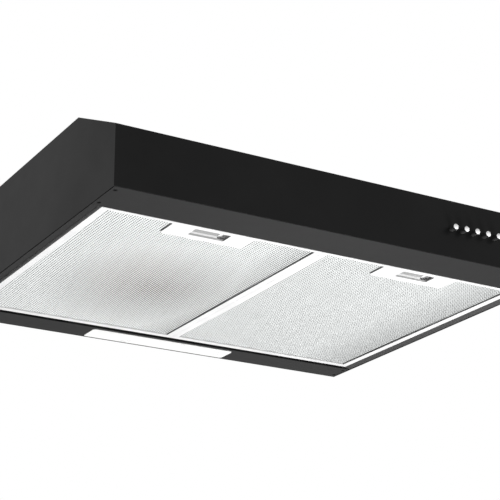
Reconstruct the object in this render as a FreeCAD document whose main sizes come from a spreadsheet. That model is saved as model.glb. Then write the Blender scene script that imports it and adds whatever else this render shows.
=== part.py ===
import FreeCAD, Part
import math
import os
import re
import Sketcher

# Under cabinet range hood: a folded steel canopy that screws up under a wall cabinet.
# Frame: X to the right, Y from the front face towards the wall, Z up, millimetres.
# Origin: centre of the four cabinet screws, on the outer face of the top.

SIZES = {
    # canopy
    "hood_width": 600,
    "hood_depth": 500,
    "total_height": 118,
    "front_height": 72,
    "slope_depth": 98,
    "fixing_share": 0.6,
    "steel": 0.8,
    "seam": 0.4,
    "front_rail": 60,
    "rear_rail": 44,
    "side_flange": 12.5,
    "flange_rise": 2.1,
    "lip_height": 14,
    "tab_depth": 14,
    "hem_depth": 12,
    # fixings
    "cabinet_pitch_x": 480,
    "cabinet_pitch_y": 240,
    "cabinet_hole": 3,
    "rail_screw": 1.5,
    "rail_screw_head": 2.3,
    "rail_screw_long": 6,
    "rail_screw_inset": 7,
    "screw_from_end": 11,
    "screw_from_lip": 9,
    "screw_clear": 0.15,
    # grease filters
    "filter_gap": 0.4,
    "filter_side_gap": 2.8,
    "filter_front_gap": 1.2,
    "filter_back_gap": 9.1,
    "filter_recess": 0,
    "filter_thick": 9,
    "filter_rim": 8.7,
    "filter_front_rim": 5.2,
    "rim_thick": 2,
    "mesh_thick": 4.6,
    "mesh_clear": 0.3,
    "tab_width": 106,
    "tab_overlap": 3,
    "tab_corner": 3,
    "lug_width": 20,
    "lug_thick": 1.2,
    "lug_reach": 5,
    "lug_offset": 60,
    "lug_shift": 52,
    # filter latch
    "slot_width": 46,
    "slot_depth": 19.5,
    "slot_setback": 28,
    "slot_corner": 2,
    "slider_left": 22.4,
    "slider_right": 15,
    "slider_thick": 1.4,
    "slider_rise": 2.6,
    "slider_travel": 5,
    "travel_spare": 0.4,
    "finger_left": 19.5,
    "finger_thick": 1.4,
    "finger_gap": 0.2,
    "tongue_half": 12,
    "tongue_reach": 3.5,
    "latch_clear": 0.5,
    "housing_wall": 1.2,
    # push buttons
    "button_count": 5,
    "button_pitch": 16,
    "button_first": 141,
    "button_height": 36,
    "button_proud": 9,
    "button_travel": 3.5,
    "stem_radius": 3.2,
    "stem_clear": 0.06,
    "cap_lip": 0.8,
    "cap_edge": 1.2,
    "cap_crown": 1.3,
    "panel_gap": 0.9,
    "block_deep": 28,
    "block_margin": 11,
    "block_floor": 4,
    "block_corner": 2,
    # lamp
    "lens_width": 213,
    "lens_depth": 33,
    "lens_setback": 4.5,
    "lens_corner": 4,
    "lens_proud": 0.5,
    "lens_flange": 2,
    "lens_flange_thick": 1.2,
    "lamp_high": 20,
    "lamp_back_wall": 0.6,
    "board_thick": 1.6,
    "board_end": 4,
    "board_edge": 6,
    "led_count": 12,
    "led_pitch": 16,
    "led_side": 3.5,
    "led_high": 0.8,
    # blowers
    "blower_setback": 230,
    "scroll_floor": -92,
    "scroll_high": 52,
    "scroll_gap": 14,
    "scroll_step": 8,
    "wheel_radius": 76,
    "blade_depth": 13,
    "wheel_drop": 5,
    "blade_count": 36,
    "blade_thick": 0.8,
    "eye_inset": 16,
    "eye_lip": 4,
    "motor_radius": 34,
    "motor_high": 30,
    "shaft_radius": 4,
    "shaft_clear": 0.05,
    "cover_clear": 4,
    "motor_flange": 7,
    "motor_bore_share": 0.8,
    "grille_thick": 2,
    "grille_rib": 3,
    "grille_spoke": 1.5,
    "hanger_radius": 6,
    "hanger_circle": 62,
    "cutoff_angle": 45,
    "wheel_plate": 1.2,
    "hub_long": 30,
    "blade_angle": 35,
    # exhaust
    "box_half": 62,
    "box_deep": 128,
    "box_margin": 7,
    "collar_radius": 60,
    "collar_high": 42,
    "collar_wall": 1.2,
    "collar_flange": 15,
    "collar_screw_head": 3.4,
    "collar_head_high": 2,
    "collar_screw_long": 7,
    "damper_level": 6,
    "seat_ledge": 2.8,
    "throat_step": 2,
    "seat_thick": 1.9,
    "seat_gap": 0.1,
    "rod_radius": 1.5,
    "rod_clear": 0.06,
    "knuckle_radius": 3,
    "knuckle_long": 14,
    "knuckle_gap": 2,
    "knuckle_first": 8,
    "flap_thick": 1,
    "flap_gap": 1,
    # electrics
    "junction_x": 232,
    "junction_setback": 140,
    "junction_side": 64,
    "junction_high": 30,
    "junction_corner": 4,
    "lid_thick": 1.6,
    "lid_lip": 3,
    "gland_bore": 4,
    "gland_radius": 8,
    "gland_shoulder": 1.5,
    "gland_high": 10,
    "gland_nut_high": 4,
    "driver_half_long": 36,
    "driver_half_deep": 18,
    "driver_high": 22,
    "driver_ear": 10,
    "driver_ear_thick": 3,
    "capacitor_radius": 14,
    "capacitor_long": 60,
    "capacitor_offset": 60,
    "clip_width": 12,
    "clip_wall": 1,
}

# Derived positions, kept in the same sheet as formulas.
DERIVED = {
    "left_x": "-hood_width/2",
    "right_x": "hood_width/2",
    "front_y": "-hood_depth*fixing_share",
    "back_y": "front_y+hood_depth",
    "floor_z": "-total_height",
    "slope_angle": "atan((total_height-front_height)/slope_depth)",
    "slope_drop": "steel/cos(slope_angle)",
    "bend_shift": "steel*tan(slope_angle/2)",
    "slope_top_y": "front_y+slope_depth",
    "slope_low_z": "floor_z+front_height",
    "lip_front_y": "front_y+front_rail",
    "lip_rear_y": "back_y-rear_rail",
    "rail_half": "hood_width/2-steel-seam",
    "filter_width": "(hood_width-2*side_flange-2*filter_side_gap-filter_gap)/2",
    "filter_x": "(filter_width+filter_gap)/2",
    "filter_front_y": "lip_front_y+filter_front_gap",
    "filter_back_y": "lip_rear_y-filter_back_gap",
    "filter_low_z": "floor_z+filter_recess",
    "filter_top_z": "filter_low_z+filter_thick",
    "rim_top_z": "filter_low_z+rim_thick",
    "lug_low_z": "filter_top_z-steel-lug_thick",
    "slot_front_y": "lip_front_y+slot_setback-slot_depth",
    "slot_back_y": "lip_front_y+slot_setback",
    "finger_front_y": "slot_back_y-finger_gap",
    "finger_back_y": "finger_front_y+finger_thick",
    "tray_back_y": "finger_back_y+slider_travel+travel_spare+housing_wall",
    "tab_back_y": "tray_back_y+tab_overlap",
    "slider_low_z": "rim_top_z+slider_rise",
    "slider_top_z": "slider_low_z+slider_thick",
    "button_z": "floor_z+button_height",
    "panel_back_y": "front_y+steel",
    "lens_back_y": "back_y-lens_setback",
    "lens_front_y": "lens_back_y-lens_depth",
    "lamp_low_z": "floor_z+steel",
    "scroll_top_z": "scroll_floor+scroll_high",
    "eye_radius": "wheel_radius-eye_inset",
    "scroll_first": "wheel_radius+scroll_gap",
    "blower_x": "box_half+scroll_first-scroll_step/2+2",
    "blower_y": "back_y-blower_setback",
    "mouth_low_y": "blower_y-scroll_step/2+(scroll_first-scroll_step)*sin(cutoff_angle)+steel",
    "mouth_high_y": "blower_y+scroll_step/2+scroll_first+2*scroll_step-steel",
    "box_front": "mouth_low_y-box_margin",
    "collar_y": "box_front+box_deep/2",
    "junction_y": "back_y-junction_setback",
    "block_low_x": "button_first-block_margin",
    "block_high_x": "button_first+(button_count-1)*button_pitch+block_margin",
    "bore_back_y": "panel_back_y+block_deep-block_floor",
    "cap_radius": "stem_radius+cap_lip",
    "panel_hole": "stem_radius+panel_gap",
    "tray_top_z": "slider_top_z+mesh_clear+housing_wall",
    "rod_z": "damper_level+flap_thick/2",
    "collar_bore": "collar_radius-collar_wall",
    "collar_screw_circle": "collar_radius+collar_flange/2",
    "seat_bore": "collar_bore-seat_ledge",
    "gland_neck": "gland_radius-gland_shoulder",
    "rail_screw_x": "hood_width/2-rail_screw_inset",
    "box_low_z": "-steel-junction_high",
}

ALIASES = re.compile(r"\b(" + "|".join(list(SIZES) + list(DERIVED)) + r")\b")

doc = FreeCAD.newDocument("range_hood")
sheet = doc.addObject("Spreadsheet::Sheet", "size")
for row, (alias, number) in enumerate(SIZES.items(), 1):
    sheet.set("A%d" % row, alias)
    sheet.set("B%d" % row, str(number))
    sheet.setAlias("B%d" % row, alias)
for row, (alias, formula) in enumerate(DERIVED.items(), len(SIZES) + 1):
    sheet.set("A%d" % row, alias)
    sheet.set("B%d" % row, "=" + formula)
    sheet.setAlias("B%d" % row, alias)
doc.recompute()

nodes = {}


def bound(text):
    """An expression with each size named in the sheet."""
    return ALIASES.sub(r"size.\1", str(text))


def val(text):
    """The present value of an expression."""
    return float(sheet.evalExpression(bound(text)))


def bind(obj, prop, text):
    obj.setExpression(prop, bound(text))


def keep(name, obj):
    """Registers a finished sub-part under its node name."""
    obj.Label = name
    nodes[name] = obj
    return obj


# ---------------------------------------------------------------- sketched bodies


def new_body(name):
    return keep(name, doc.addObject("PartDesign::Body", name))


def rect(x0, x1, y0, y1):
    return "poly", [(x0, y0), (x1, y0), (x1, y1), (x0, y1)]


def poly(*points):
    return "poly", list(points)


def circle(x, y, radius):
    return "circle", (x, y, radius)


def rounded(x0, x1, y0, y1, radius):
    return "rounded", (x0, x1, y0, y1, radius)


def pin_point(sketch, index, corner, x, y):
    """Holds one sketch point at sheet-driven distances from the origin."""
    for kind, text in (("DistanceX", x), ("DistanceY", y)):
        fixed = sketch.addConstraint(Sketcher.Constraint(kind, -1, 1, index, corner, val(text)))
        bind(sketch, "Constraints[%d]" % fixed, text)


def add_poly(sketch, points):
    first = sketch.GeometryCount
    spots = [FreeCAD.Vector(val(x), val(y), 0) for x, y in points]
    count = len(spots)
    for i in range(count):
        sketch.addGeometry(Part.LineSegment(spots[i], spots[(i + 1) % count]))
    for i in range(count):
        after = first + (i + 1) % count
        sketch.addConstraint(Sketcher.Constraint("Coincident", first + i, 2, after, 1))
    for i, (x, y) in enumerate(points):
        pin_point(sketch, first + i, 1, x, y)


def add_circle(sketch, x, y, radius):
    centre = FreeCAD.Vector(val(x), val(y), 0)
    index = sketch.addGeometry(Part.Circle(centre, FreeCAD.Vector(0, 0, 1), val(radius)))
    pin_point(sketch, index, 3, x, y)
    fixed = sketch.addConstraint(Sketcher.Constraint("Radius", index, val(radius)))
    bind(sketch, "Constraints[%d]" % fixed, radius)


def add_rounded(sketch, x0, x1, y0, y1, radius):
    """A rectangle with round corners: four lines joined by four arcs."""
    inner = "(%s)+(%s)"
    outer = "(%s)-(%s)"
    ends = [
        ((inner % (x0, radius), y0), (outer % (x1, radius), y0)),
        ((x1, inner % (y0, radius)), (x1, outer % (y1, radius))),
        ((outer % (x1, radius), y1), (inner % (x0, radius), y1)),
        ((x0, outer % (y1, radius)), (x0, inner % (y0, radius))),
    ]
    centres = [(ends[0][1][0], ends[1][0][1]), (ends[0][1][0], ends[1][1][1]),
               (ends[0][0][0], ends[1][1][1]), (ends[0][0][0], ends[1][0][1])]
    first = sketch.GeometryCount
    for start, end in ends:
        sketch.addGeometry(Part.LineSegment(FreeCAD.Vector(val(start[0]), val(start[1]), 0),
                                            FreeCAD.Vector(val(end[0]), val(end[1]), 0)))
    for i, (x, y) in enumerate(centres):
        round_off = Part.Circle(FreeCAD.Vector(val(x), val(y), 0), FreeCAD.Vector(0, 0, 1),
                                val(radius))
        start = (i - 1) * math.pi / 2
        arc = sketch.addGeometry(Part.ArcOfCircle(round_off, start, start + math.pi / 2))
        sketch.addConstraint(Sketcher.Constraint("Coincident", first + i, 2, arc, 1))
        sketch.addConstraint(Sketcher.Constraint("Coincident", arc, 2, first + (i + 1) % 4, 1))
        fixed = sketch.addConstraint(Sketcher.Constraint("Radius", arc, val(radius)))
        bind(sketch, "Constraints[%d]" % fixed, radius)
    for i, (start, end) in enumerate(ends):
        pin_point(sketch, first + i, 1, *start)
        pin_point(sketch, first + i, 2, *end)


def add_sketch(body, plane, level, loops):
    """A sketch on one of the body's origin planes, moved to a level along the plane's axis."""
    sketch = body.newObject("Sketcher::SketchObject", body.Name + "_sketch")
    role = plane + "_Plane"
    origin_plane = [f for f in body.Origin.OriginFeatures if f.Role == role][0]
    sketch.AttachmentSupport = [(origin_plane, "")]
    sketch.MapMode = "FlatFace"
    sign = "-" if plane == "XZ" else ""
    bind(sketch, "AttachmentOffset.Base.z", "%s(%s)" % (sign, level))
    for kind, numbers in loops:
        if kind == "poly":
            add_poly(sketch, numbers)
        elif kind == "circle":
            add_circle(sketch, *numbers)
        else:
            add_rounded(sketch, *numbers)
    return sketch


def pad(body, plane, low, high, *loops):
    """Adds material between two levels along the axis across the plane."""
    level = high if plane == "XZ" else low
    feature = body.newObject("PartDesign::Pad", body.Name + "_pad")
    feature.Profile = add_sketch(body, plane, level, loops)
    bind(feature, "Length", "(%s)-(%s)" % (high, low))
    body.Tip = feature
    return feature


def cut(body, plane, low, high, *loops):
    """Removes material between two levels along the axis across the plane."""
    level = low if plane == "XZ" else high
    feature = body.newObject("PartDesign::Pocket", body.Name + "_pocket")
    feature.Profile = add_sketch(body, plane, level, loops)
    bind(feature, "Length", "(%s)-(%s)" % (high, low))
    body.Tip = feature
    return feature


# ---------------------------------------------------------------- plain solids


def block(name, x0, x1, y0, y1, z0, z1):
    solid = doc.addObject("Part::Box", name)
    for prop, low, high in (("Length", x0, x1), ("Width", y0, y1), ("Height", z0, z1)):
        bind(solid, prop, "(%s)-(%s)" % (high, low))
    for axis, low in zip("xyz", (x0, y0, z0)):
        bind(solid, "Placement.Base." + axis, low)
    return solid


TURNS = {
    "X": FreeCAD.Rotation(FreeCAD.Vector(0, 1, 0), 90),
    "Y": FreeCAD.Rotation(FreeCAD.Vector(1, 0, 0), -90),
    "Z": FreeCAD.Rotation(),
}


def rod(name, axis, radius, low, high, u, v):
    """A round bar along X, Y or Z. u and v are its place on the other two axes, in order."""
    solid = doc.addObject("Part::Cylinder", name)
    bind(solid, "Radius", radius)
    bind(solid, "Height", "(%s)-(%s)" % (high, low))
    solid.Placement = FreeCAD.Placement(FreeCAD.Vector(0, 0, 0), TURNS[axis])
    places = {"X": (low, u, v), "Y": (u, low, v), "Z": (u, v, low)}[axis]
    for letter, text in zip("xyz", places):
        bind(solid, "Placement.Base." + letter, text)
    return solid


def fuse(name, *parts):
    solid = doc.addObject("Part::MultiFuse", name)
    solid.Shapes = list(parts)
    return solid


def minus(name, base, tool):
    solid = doc.addObject("Part::Cut", name)
    solid.Base = base
    solid.Tool = tool
    return solid


def group(name, *parts):
    solid = doc.addObject("Part::Compound", name)
    solid.Links = list(parts)
    return solid


def shaped(name, make):
    """A sub-part whose outline neither a sketch nor a primitive gives, made by a function."""
    solid = doc.addObject("Part::Feature", name)
    solid.Shape = make()
    solid.Placement = FreeCAD.Placement()
    return keep(name, solid)


# ---------------------------------------------------------------- canopy

SIDES = (("left", "-"), ("right", "+"))

top = new_body("top_panel")
pad(top, "YZ", "left_x", "right_x",
    poly(("front_y", "slope_low_z"), ("slope_top_y", "0"), ("back_y", "0"), ("back_y", "-steel"),
         ("slope_top_y+bend_shift", "-steel"), ("front_y", "slope_low_z-slope_drop")))
cabinet_holes = [circle("%scabinet_pitch_x/2" % sx, "%scabinet_pitch_y/2" % sy, "cabinet_hole")
                 for sx in "-+" for sy in "-+"]
cut(top, "XY", "-steel", "0", *cabinet_holes,
    circle("0", "collar_y", "collar_bore-throat_step"),
    circle("junction_x", "junction_y", "gland_neck+screw_clear"))

front = new_body("front_panel")
pad(front, "YZ", "left_x", "right_x",
    rect("front_y", "panel_back_y", "floor_z", "slope_low_z-slope_drop"))
pad(front, "YZ", "-rail_half", "rail_half",
    poly(("panel_back_y", "floor_z"), ("lip_front_y", "floor_z"),
         ("lip_front_y", "floor_z+lip_height"), ("lip_front_y-steel", "floor_z+lip_height"),
         ("lip_front_y-steel", "floor_z+steel"), ("panel_back_y", "floor_z+steel")))
cut(front, "XZ", "front_y", "panel_back_y",
    *[circle("button_first+%d*button_pitch" % i, "button_z", "panel_hole")
      for i in range(int(val("button_count")))])
cut(front, "XZ", "lip_front_y-steel", "lip_front_y",
    *[rect("%sfilter_x-tongue_half-latch_clear" % sign, "%sfilter_x+tongue_half+latch_clear" % sign,
           "slider_low_z-latch_clear", "slider_top_z+latch_clear") for _, sign in SIDES])

back = new_body("back_panel")
pad(back, "XY", "floor_z", "-steel",
    poly(("-rail_half", "back_y-hem_depth"), ("-rail_half+steel", "back_y-hem_depth"),
         ("-rail_half+steel", "back_y-steel"), ("rail_half-steel", "back_y-steel"),
         ("rail_half-steel", "back_y-hem_depth"), ("rail_half", "back_y-hem_depth"),
         ("rail_half", "back_y"), ("-rail_half", "back_y")))
# the folded ends stand clear of the rear rail
cut(back, "XY", "floor_z", "floor_z+lip_height+2*seam",
    rect("-rail_half", "-rail_half+steel", "back_y-hem_depth", "back_y-steel"),
    rect("rail_half-steel", "rail_half", "back_y-hem_depth", "back_y-steel"))

rail = new_body("rear_rail")
pad(rail, "YZ", "-rail_half", "rail_half",
    poly(("lip_rear_y", "floor_z"), ("back_y-steel", "floor_z"),
         ("back_y-steel", "floor_z+steel"),
         ("lip_rear_y+steel", "floor_z+steel"), ("lip_rear_y+steel", "floor_z+lip_height"),
         ("lip_rear_y", "floor_z+lip_height")))
cut(rail, "XY", "floor_z", "floor_z+steel",
    rounded("-lens_width/2-seam", "lens_width/2+seam", "lens_front_y-seam", "lens_back_y+seam",
            "lens_corner+seam"))
# two lugs on each filter, outboard of the lamp
LUGS = [(side, end) for _, side in SIDES for end in "-+"]
lug_places = ["%s(filter_x+lug_shift)%slug_offset" % (side, end) for side, end in LUGS]
cut(rail, "XZ", "lip_rear_y", "lip_rear_y+steel",
    *[rect("%s-lug_width/2-latch_clear" % x, "%s+lug_width/2+latch_clear" % x,
           "lug_low_z-latch_clear", "floor_z+lip_height") for x in lug_places])

# Side panels: a flat cheek, a sloping bottom flange between the rails, and folded tabs behind
# the rails that take the rail screws.
screw_ys = ["front_y+screw_from_end", "lip_front_y-screw_from_lip",
            "lip_rear_y+screw_from_lip", "back_y-screw_from_end"]
for side, sign in SIDES:
    cheek = new_body("side_panel_" + side)

    def across(distance, sign=sign):
        """A place measured inwards from the cheek's outer face."""
        return "%s(hood_width/2-(%s))" % (sign, distance)

    def span(near, far):
        return (across(far), across(near)) if sign == "+" else (across(near), across(far))

    low, high = span("0", "steel")
    pad(cheek, "YZ", low, high,
        poly(("panel_back_y", "floor_z"), ("back_y", "floor_z"), ("back_y", "-steel"),
             ("slope_top_y+bend_shift", "-steel"),
             ("panel_back_y", "slope_low_z-slope_drop+steel*tan(slope_angle)")))
    pad(cheek, "XZ", "lip_front_y+seam", "lip_rear_y-seam",
        poly((across("0"), "floor_z"), (across("side_flange"), "floor_z+flange_rise"),
             (across("side_flange"), "floor_z+flange_rise+steel"),
             (across("0"), "floor_z+steel")))
    tab_low, tab_high = span("steel/2", "tab_depth")
    for near, far in (("panel_back_y+2*steel", "lip_front_y-2*steel"),
                      ("lip_rear_y+2*steel", "back_y-2*steel")):
        pad(cheek, "XY", "floor_z+steel", "floor_z+2*steel", rect(tab_low, tab_high, near, far))
    cut(cheek, "XY", "floor_z+steel", "floor_z+2*steel",
        *[circle(across("rail_screw_inset"), y, "rail_screw+screw_clear") for y in screw_ys])

for rail_body, ys in ((front, screw_ys[:2]), (rail, screw_ys[2:])):
    cut(rail_body, "XY", "floor_z", "floor_z+steel",
        *[circle("%srail_screw_x" % sign, y, "rail_screw_head+screw_clear")
          for _, sign in SIDES for y in ys])

rail_screws = []
for _, sign in SIDES:
    for i, y in enumerate(screw_ys):
        x = "%srail_screw_x" % sign
        head = rod("screw_head", "Z", "rail_screw_head", "floor_z", "floor_z+steel*0.98", x, y)
        shank = rod("screw_shank", "Z", "rail_screw", "floor_z+steel/2",
                    "floor_z+rail_screw_long", x, y)
        rail_screws.append(fuse("rail_screw", head, shank))
keep("rail_screws", group("rail_screws", *rail_screws))

# ---------------------------------------------------------------- grease filters


def filter_set(side, sign):
    """One cassette: folded frame, mesh pack, latch housing and sliding latch."""
    mid = "(%sfilter_x)" % sign

    def at(offset):
        return "%s+(%s)" % (mid, offset)

    frame = new_body("filter_frame_" + side)
    half = "filter_width/2"
    pad(frame, "XY", "filter_low_z", "filter_top_z",
        rect(at("-" + half), at(half), "filter_front_y", "filter_back_y"))
    # lower window, with the latch tab left standing at its front
    window = "(%s-filter_rim)" % half
    window_front = "filter_front_y+filter_front_rim"
    window_back = "filter_back_y-filter_rim"
    cut(frame, "XY", "filter_low_z", "rim_top_z",
        poly((at("-" + window), window_front), (at("-tab_width/2"), window_front),
             (at("-tab_width/2"), "tab_back_y-tab_corner"),
             (at("-tab_width/2+tab_corner"), "tab_back_y"),
             (at("tab_width/2-tab_corner"), "tab_back_y"),
             (at("tab_width/2"), "tab_back_y-tab_corner"),
             (at("tab_width/2"), window_front), (at(window), window_front),
             (at(window), window_back), (at("-" + window), window_back)))
    # channel that holds the mesh pack, and the upper window
    cut(frame, "XY", "rim_top_z", "filter_top_z-steel",
        rect(at("-%s+steel" % half), at("%s-steel" % half), "filter_front_y+steel", "filter_back_y-steel"))
    cut(frame, "XY", "filter_top_z-steel", "filter_top_z",
        rect(at("-" + window), at(window), window_front, window_back))
    cut(frame, "XY", "filter_low_z", "rim_top_z",
        rounded(at("-slot_width/2"), at("slot_width/2"), "slot_front_y", "slot_back_y",
                "slot_corner"))
    cut(frame, "XZ", "filter_front_y", "filter_front_y+steel",
        rect(at("-tongue_half-latch_clear"), at("tongue_half+latch_clear"),
             "slider_low_z-latch_clear", "slider_top_z+latch_clear"))
    for place in [p for p, (s, _) in zip(lug_places, LUGS) if s == sign]:
        pad(frame, "XY", "lug_low_z", "lug_low_z+lug_thick",
            rect("%s-lug_width/2" % place, "%s+lug_width/2" % place,
                 "filter_back_y-steel", "lip_rear_y+lug_reach"))

    mesh = new_body("filter_mesh_" + side)
    edge = "(%s-steel-mesh_clear)" % half
    pad(mesh, "XY", "rim_top_z", "rim_top_z+mesh_thick",
        rect(at("-" + edge), at(edge), "filter_front_y+steel+mesh_clear", "filter_back_y-steel-mesh_clear"))
    tray_half = "(tab_width/2-tab_overlap)"
    cut(mesh, "XY", "rim_top_z", "rim_top_z+mesh_thick",
        rect(at("-%s-mesh_clear" % tray_half), at("%s+mesh_clear" % tray_half),
             "filter_front_y+steel", "tray_back_y+mesh_clear"))

    tray = new_body("latch_housing_" + side)
    pad(tray, "XY", "rim_top_z", "tray_top_z",
        rect(at("-" + tray_half), at(tray_half), "filter_front_y+steel+mesh_clear", "tray_back_y"))
    cut(tray, "XY", "rim_top_z", "slider_top_z+mesh_clear",
        rect(at("-%s+housing_wall" % tray_half), at("%s-housing_wall" % tray_half),
             "filter_front_y+steel+mesh_clear+housing_wall", "tray_back_y-housing_wall"))
    cut(tray, "XZ", "filter_front_y", "filter_front_y+steel+mesh_clear+housing_wall",
        rect(at("-tongue_half-latch_clear"), at("tongue_half+latch_clear"),
             "slider_low_z-latch_clear", "slider_top_z+mesh_clear"))

    slider = new_body("latch_slider_" + side)
    pad(slider, "XY", "slider_low_z", "slider_top_z",
        poly((at("-slider_left"), "finger_back_y"), (at("-slider_left"), "slot_front_y"),
             (at("-tongue_half"), "slot_front_y"),
             (at("-tongue_half"), "lip_front_y-tongue_reach"),
             (at("tongue_half"), "lip_front_y-tongue_reach"),
             (at("tongue_half"), "slot_front_y"), (at("slider_right"), "slot_front_y"),
             (at("slider_right"), "finger_back_y")))
    pad(slider, "XY", "rim_top_z+finger_gap", "slider_low_z",
        rect(at("-finger_left"), at("slider_right"), "finger_front_y", "finger_back_y"))


for side, sign in SIDES:
    filter_set(side, sign)

# ---------------------------------------------------------------- push buttons

switch = new_body("switch_block")
pad(switch, "XZ", "panel_back_y", "panel_back_y+block_deep",
    rounded("block_low_x", "block_high_x", "button_z-block_margin", "button_z+block_margin",
            "block_corner"))
cut(switch, "XZ", "panel_back_y", "bore_back_y",
    *[circle("button_first+%d*button_pitch" % i, "button_z", "stem_radius+stem_clear")
      for i in range(int(val("button_count")))])
for i in range(int(val("button_count"))):
    x = "button_first+%d*button_pitch" % i
    keep("button_stem_%d" % (i + 1),
         rod("button_stem", "Y", "stem_radius", "front_y-button_proud+cap_edge",
             "bore_back_y-button_travel-panel_gap", x, "button_z"))
    cap = new_body("button_cap_%d" % (i + 1))
    cap_sketch = add_sketch(cap, "XY", "0", [])
    arc_radius = "(cap_radius^2+cap_crown^2)/(2*cap_crown)"
    radius, crown, edge = val("cap_radius"), val("cap_crown"), val("cap_edge")
    big = val(arc_radius)
    dome = Part.Circle(FreeCAD.Vector(0, edge + crown - big, 0), FreeCAD.Vector(0, 0, 1), big)
    start = math.atan2(big - crown, radius)
    corners = [FreeCAD.Vector(0, 0, 0), FreeCAD.Vector(radius, 0, 0), FreeCAD.Vector(radius, edge, 0),
               FreeCAD.Vector(0, edge + crown, 0)]
    cap_sketch.addGeometry([Part.LineSegment(corners[0], corners[1]),
                            Part.LineSegment(corners[1], corners[2]),
                            Part.ArcOfCircle(dome, start, math.pi / 2),
                            Part.LineSegment(corners[3], corners[0])])
    for before, after in ((0, 1), (1, 2), (2, 3), (3, 0)):
        cap_sketch.addConstraint(Sketcher.Constraint("Coincident", before, 2, after, 1))
    pin_point(cap_sketch, 0, 1, "0", "0")
    pin_point(cap_sketch, 1, 1, "cap_radius", "0")
    pin_point(cap_sketch, 2, 1, "cap_radius", "cap_edge")
    pin_point(cap_sketch, 3, 1, "0", "cap_edge+cap_crown")
    fixed = cap_sketch.addConstraint(Sketcher.Constraint("Radius", 2, big))
    bind(cap_sketch, "Constraints[%d]" % fixed, arc_radius)
    turn = cap.newObject("PartDesign::Revolution", "cap_turn")
    turn.Profile = cap_sketch
    turn.ReferenceAxis = (cap_sketch, ["V_Axis"])
    turn.Angle = 360
    cap.Tip = turn
    cap.Placement = FreeCAD.Placement(FreeCAD.Vector(0, 0, 0),
                                      FreeCAD.Rotation(FreeCAD.Vector(0, 0, 1), 180))
    bind(cap, "Placement.Base.x", x)
    bind(cap, "Placement.Base.y", "front_y-button_proud+cap_edge")
    bind(cap, "Placement.Base.z", "button_z")

# ---------------------------------------------------------------- lamp

lens = new_body("lamp_lens")
pad(lens, "XY", "floor_z-lens_proud", "lamp_low_z",
    rounded("-lens_width/2", "lens_width/2", "lens_front_y", "lens_back_y", "lens_corner"))
pad(lens, "XY", "lamp_low_z", "lamp_low_z+lens_flange_thick",
    rounded("-lens_width/2-lens_flange", "lens_width/2+lens_flange", "lens_front_y-lens_flange",
            "lens_back_y+lens_flange", "lens_corner+lens_flange"))
lamp_out = "lens_flange+seam+housing_wall"
lamp = new_body("lamp_housing")
pad(lamp, "XY", "lamp_low_z", "lamp_low_z+lamp_high",
    rect("-lens_width/2-(%s)" % lamp_out, "lens_width/2+(%s)" % lamp_out,
         "lens_front_y-(%s)" % lamp_out, "lens_back_y+lens_flange+seam+lamp_back_wall"))
cut(lamp, "XY", "lamp_low_z", "lamp_low_z+lamp_high-housing_wall",
    rect("-lens_width/2-lens_flange-seam", "lens_width/2+lens_flange+seam",
         "lens_front_y-lens_flange-seam", "lens_back_y+lens_flange+seam"))
board_low = "lamp_low_z+lamp_high-housing_wall-board_thick"
board = new_body("led_board")
pad(board, "XY", board_low, board_low + "+board_thick",
    rect("-lens_width/2+board_end", "lens_width/2-board_end",
         "lens_front_y+board_edge", "lens_back_y-board_edge"))
led_xs = ["led_pitch*(%d-(led_count-1)/2)" % i for i in range(int(val("led_count")))]
pad(board, "XY", board_low + "-led_high", board_low,
    *[rect(x + "-led_side/2", x + "+led_side/2", "lens_front_y+lens_depth/2-led_side/2",
           "lens_front_y+lens_depth/2+led_side/2") for x in led_xs])
driver = new_body("led_driver")
pad(driver, "XY", "-steel-driver_high", "-steel",
    rounded("-junction_x-driver_half_long", "-junction_x+driver_half_long",
            "junction_y-driver_half_deep", "junction_y+driver_half_deep", "driver_ear_thick"))
pad(driver, "XY", "-steel-driver_ear_thick", "-steel",
    *[rect("-junction_x%s" % near, "-junction_x%s" % far, "junction_y-driver_ear",
           "junction_y+driver_ear")
      for near, far in (("-driver_half_long-driver_ear", "-driver_half_long+2"),
                        ("+driver_half_long-2", "+driver_half_long+driver_ear"))])

# ---------------------------------------------------------------- blowers


def volute_wire(inset, z, mirror, reach=0):
    """Outline of the scroll, inset from its outer face, with its mouth moved out by a reach.

    Four arcs of growing radius join end to end, then two walls run straight to the mouth."""
    step = val("scroll_step")
    first = val("scroll_first") - inset
    off = step / 2
    arcs = [((off, -off), first - step, val("cutoff_angle"), 0), ((-off, -off), first, 0, -90),
            ((-off, off), first + step, -90, -180), ((off, off), first + 2 * step, -180, -270)]

    def spot(centre, radius, degrees):
        x = centre[0] + radius * math.cos(math.radians(degrees)) - val("blower_x")
        y = centre[1] + radius * math.sin(math.radians(degrees)) + val("blower_y")
        return FreeCAD.Vector(mirror * x, y, z)

    edges = []
    for centre, radius, begin, end in arcs:
        edges.append(Part.Arc(spot(centre, radius, begin), spot(centre, radius, (begin + end) / 2),
                              spot(centre, radius, end)).toShape())
    tongue = spot(arcs[0][0], arcs[0][1], val("cutoff_angle"))
    crest = spot(arcs[3][0], arcs[3][1], -270)
    mouth_x = mirror * (reach - val("box_half"))
    far = FreeCAD.Vector(mouth_x, crest.y, z)
    near = FreeCAD.Vector(mouth_x, tongue.y, z)
    for start, end in ((crest, far), (far, near), (near, tongue)):
        edges.append(Part.LineSegment(start, end).toShape())
    return Part.Wire(Part.__sortEdges__(edges))


def volute_plug(low, high, mirror, inset=0, reach=0):
    face = Part.Face(volute_wire(inset, low, mirror, reach))
    return face.extrude(FreeCAD.Vector(0, 0, high - low))


def upright(radius, low, high, mirror):
    """A disc or post on the blower's axis."""
    centre = FreeCAD.Vector(-mirror * val("blower_x"), val("blower_y"), low)
    return Part.makeCylinder(radius, high - low, centre)


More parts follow.
